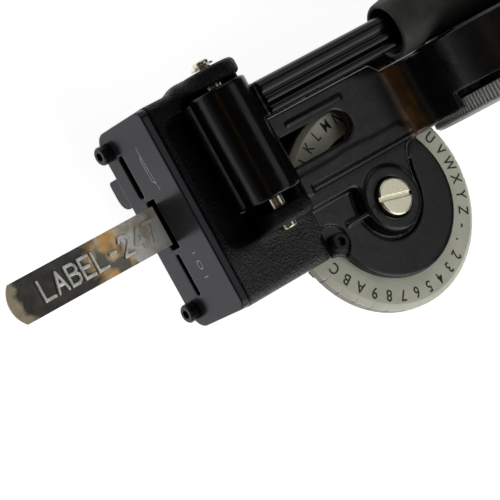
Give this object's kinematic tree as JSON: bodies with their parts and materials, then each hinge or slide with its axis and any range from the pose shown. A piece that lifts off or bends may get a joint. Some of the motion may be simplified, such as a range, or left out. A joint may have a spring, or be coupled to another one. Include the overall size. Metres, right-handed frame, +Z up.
{
  "type": "label maker",
  "caption": "Hand-held lever embosser for metal label tape, with a letter dial, a tape drum, a cutter and a hole punch in its head.",
  "frame": {"origin": "middle of the base cover's underside, on the surface that the tool stands on", "axes": "+X to the rear along the handles, the tape leaving towards -X; +Y to the side that the lever lies on; +Z up, along the dial's axle"},
  "size_m": [0.2903, 0.0907, 0.0841],
  "materials": {
    "black_casting": "black satin enamel on a die casting",
    "grey_plate": "satin blue-grey plated steel",
    "black_screw": "blackened steel",
    "steel": "ground steel",
    "nickel": "warm nickel plate",
    "dial_plastic": "pale sage moulded plastic, fine grain",
    "wheel_plastic": "light grey moulded plastic",
    "rubber": "dark matte rubber",
    "spring_steel": "spring steel",
    "tape_metal": "bright rolled stainless strip",
    "brass": "turned brass"
  },
  "bodies": {
    "frame": {"front_plate": "grey_plate", "head_cover": "grey_plate", "head_block": "black_casting", "main_frame": "black_casting", "base_cover": "black_casting", "fixed_handle": "black_casting", "cover_screw_1": "black_screw", "cover_screw_2": "black_screw", "plate_screw_1": "black_screw", "plate_screw_2": "black_screw", "frame_screw": "black_screw", "tongue_screw_1": "black_screw", "tongue_screw_2": "black_screw", "base_screw_1": "black_screw", "base_screw_2": "black_screw", "base_screw_3": "black_screw", "base_screw_4": "black_screw", "handle_screw_1": "black_screw", "handle_screw_2": "black_screw", "cutter_die": "steel", "punch_die": "steel", "rocker_pin": "steel", "detent_ball": "steel", "feed_axle": "steel", "pinch_axle": "steel", "spool_axle": "steel", "pivot_pin": "nickel", "pivot_clip": "nickel", "dial_axle": "nickel", "fixed_grip": "rubber", "ram_spring_1": "spring_steel", "ram_spring_2": "spring_steel", "detent_spring": "spring_steel", "tape_guide_front": "spring_steel", "tape_guide_rear": "spring_steel", "spool_clip": "spring_steel", "hammer_guide": "brass"},
    "selector": {"selector_tab": "grey_plate"},
    "lever": {"lever_arm": "black_casting", "lever_grip": "rubber", "cam_roller": "steel"},
    "ram": {"press_ram": "steel", "cutter_blade": "steel", "hole_punch": "steel"},
    "rocker": {"press_rocker": "steel"},
    "hammer": {"emboss_hammer": "steel"},
    "dial": {"dial_ring": "dial_plastic", "punch_disc": "spring_steel", "die_disc": "spring_steel", "dial_hub": "brass"},
    "tape": {"tape_strip": "tape_metal"},
    "feed": {"feed_roller": "steel"},
    "pinch": {"pinch_roller": "rubber"},
    "spool": {"thumb_wheel": "wheel_plastic", "spool_core": "wheel_plastic", "tape_roll": "tape_metal"}
  },
  "joints": [
    {"name": "lever_hinge", "type": "hinge", "parent": "frame", "child": "lever", "pos_m": [-0.0465, 0.009, 0.049], "axis": [0, 1, 0], "range_deg": [0, 11], "stiffness_Nm_per_rad": 1.5, "springref_deg": -28.65},
    {"name": "ram_slide", "type": "slide", "parent": "frame", "child": "ram", "axis": [0, 0, -1], "range_m": [0, 0.0013], "deforming": ["ram_spring_1", "ram_spring_2"]},
    {"name": "rocker_hinge", "type": "hinge", "parent": "frame", "child": "rocker", "pos_m": [-0.026, 0, 0.015], "axis": [0, -1, 0], "range_deg": [0, 5]},
    {"name": "hammer_slide", "type": "slide", "parent": "frame", "child": "hammer", "axis": [0, 0, 1], "range_m": [0, 0.0016]},
    {"name": "dial_spin", "type": "hinge", "parent": "frame", "child": "dial", "pos_m": [-0.0087, -0.0246, 0.0404], "axis": [0, 0, 1], "continuous": true},
    {"name": "spool_spin", "type": "hinge", "parent": "frame", "child": "spool", "pos_m": [0.0457, 0, 0.054], "axis": [0, 1, 0], "continuous": true},
    {"name": "feed_spin", "type": "hinge", "parent": "frame", "child": "feed", "pos_m": [0.024, 0, 0.0238], "axis": [0, 1, 0], "continuous": true},
    {"name": "pinch_spin", "type": "hinge", "parent": "frame", "child": "pinch", "pos_m": [0.024, 0, 0.0325], "axis": [0, 1, 0], "continuous": true},
    {"name": "tape_slide", "type": "slide", "parent": "frame", "child": "tape", "axis": [-1, 0, 0], "range_m": [0, 0.01]},
    {"name": "selector_slide", "type": "slide", "parent": "frame", "child": "selector", "axis": [0, -1, 0], "range_m": [0, 0.005]}
  ],
  "couplings": [
    {"joint": "ram_slide", "follows": "lever_hinge", "m_per_rad": 0.00625},
    {"joint": "rocker_hinge", "follows": "lever_hinge", "ratio": 0.4167},
    {"joint": "hammer_slide", "follows": "lever_hinge", "m_per_rad": 0.00755},
    {"joint": "feed_spin", "follows": "spool_spin", "ratio": -5.04},
    {"joint": "pinch_spin", "follows": "spool_spin", "ratio": 6.81}
  ]
}
